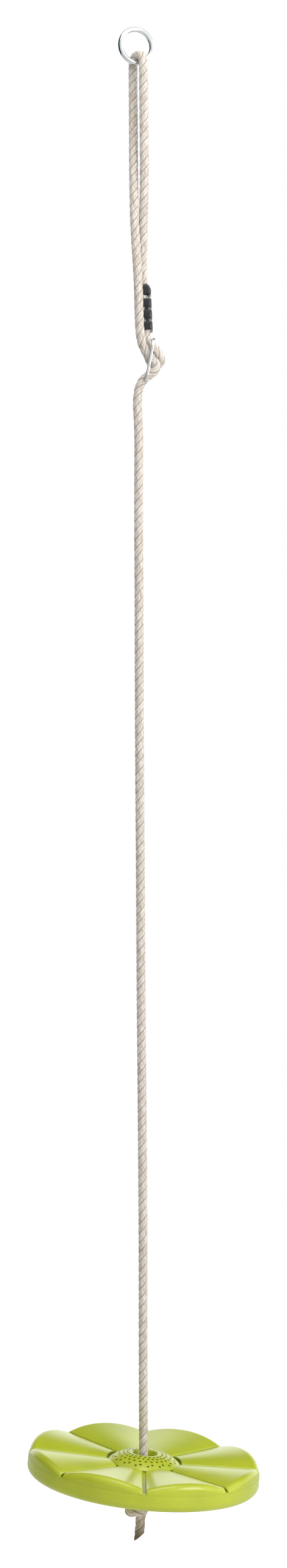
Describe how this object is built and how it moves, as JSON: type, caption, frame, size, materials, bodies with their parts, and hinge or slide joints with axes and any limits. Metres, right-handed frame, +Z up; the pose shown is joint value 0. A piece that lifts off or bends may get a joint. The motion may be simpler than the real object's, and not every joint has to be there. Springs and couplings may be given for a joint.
{
  "type": "disc rope swing",
  "caption": "Flower-shaped disc swing seat on a rope with a hanging ring, a rope clamp and an adjuster plate.",
  "frame": {"origin": "the point where a hook bears, inside the top of the hanging ring", "axes": "+Z up along the hanging rope, +X to the right and +Y away from the side that faces the user"},
  "size_m": [0.2796, 0.28, 1.8271],
  "materials": {
    "ring_steel": "polished, zinc plated",
    "plate_steel": "satin, zinc plated",
    "rope": "three-strand twisted fibre",
    "clamp_plastic": "moulded, slightly satin",
    "seat_plastic": "moulded, glossy"
  },
  "bodies": {
    "ring": {"hanging_ring": "ring_steel"},
    "rope": {"rope": "rope", "rope_clamp": "clamp_plastic", "adjuster_plate": "plate_steel"},
    "knot": {"stopper_knot": "rope", "rope_tail": "rope"},
    "seat": {"seat_top": "seat_plastic", "seat_base": "seat_plastic"}
  },
  "joints": [
    {"name": "rope_swing", "type": "hinge", "parent": "ring", "child": "rope", "pos_m": [0.00254, 0.00092, -0.03682], "axis": [0.766, 0.6428, 0], "range_deg": [-60, 60]},
    {"name": "seat_spin", "type": "hinge", "parent": "rope", "child": "knot", "pos_m": [0.0024, 0, -1.76307], "axis": [0, 0, 1], "continuous": true},
    {"name": "seat_tilt", "type": "hinge", "parent": "knot", "child": "seat", "pos_m": [0.0024, 0, -1.76307], "axis": [0, 1, 0], "range_deg": [-8.5, 6.5]}
  ]
}
